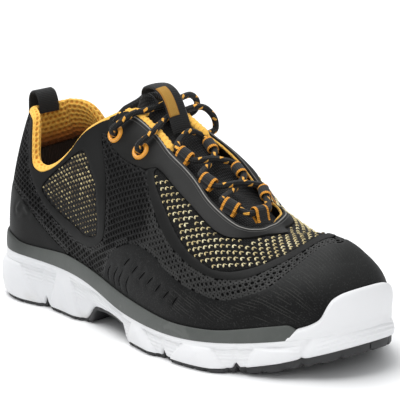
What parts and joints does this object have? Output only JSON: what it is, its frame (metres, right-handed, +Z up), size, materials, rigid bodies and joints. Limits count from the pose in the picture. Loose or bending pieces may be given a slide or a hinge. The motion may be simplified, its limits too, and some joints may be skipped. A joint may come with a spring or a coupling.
{
  "type": "safety sneaker",
  "caption": "Low-cut laced work sneaker with a hollow knit and film upper, padded collar, webbing lace loops, and a white blocked midsole with a moulded toe guard.",
  "frame": {"origin": "middle of the shoe's footprint box, on the plane that it stands on", "axes": "+X from heel to toe, +Y to the inner (medial) side of this right shoe, +Z up"},
  "size_m": [0.3108, 0.1162, 0.1427],
  "materials": {
    "outsole_rubber": "matte black moulded rubber",
    "midsole_foam": "white moulded foam, fine ridges between the side panels",
    "rand_rubber": "matte warm grey rubber band",
    "insole_fabric": "dark cloth cover",
    "upper_knit": "black knit and mesh under smooth black film",
    "lining_fabric": "orange dimpled spacer mesh",
    "tongue_fabric": "black padded textile",
    "webbing": "black woven webbing with orange edges at the lace",
    "eyelet": "satin orange",
    "lace": "black braided cord with orange flecks"
  },
  "bodies": {
    "root": {"outsole": "outsole_rubber", "midsole": "midsole_foam", "rand": "rand_rubber", "insole": "insole_fabric", "upper": "upper_knit", "collar_lining": "lining_fabric", "tongue": "tongue_fabric", "tongue_pull_loop": "webbing", "heel_pull_loop": "webbing", "eyelet_lateral_1": "eyelet", "eyelet_lateral_2": "eyelet", "eyelet_medial_1": "eyelet", "eyelet_medial_2": "eyelet", "lace_loop_lateral_1": "webbing", "lace_loop_lateral_2": "webbing", "lace_loop_lateral_3": "webbing", "lace_loop_front": "webbing", "lace_loop_medial_3": "webbing", "lace_loop_medial_2": "webbing", "lace_loop_medial_1": "webbing", "lace_crossings": "lace", "lace_bar_1": "lace", "lace_bar_2": "lace"}
  },
  "joints": []
}
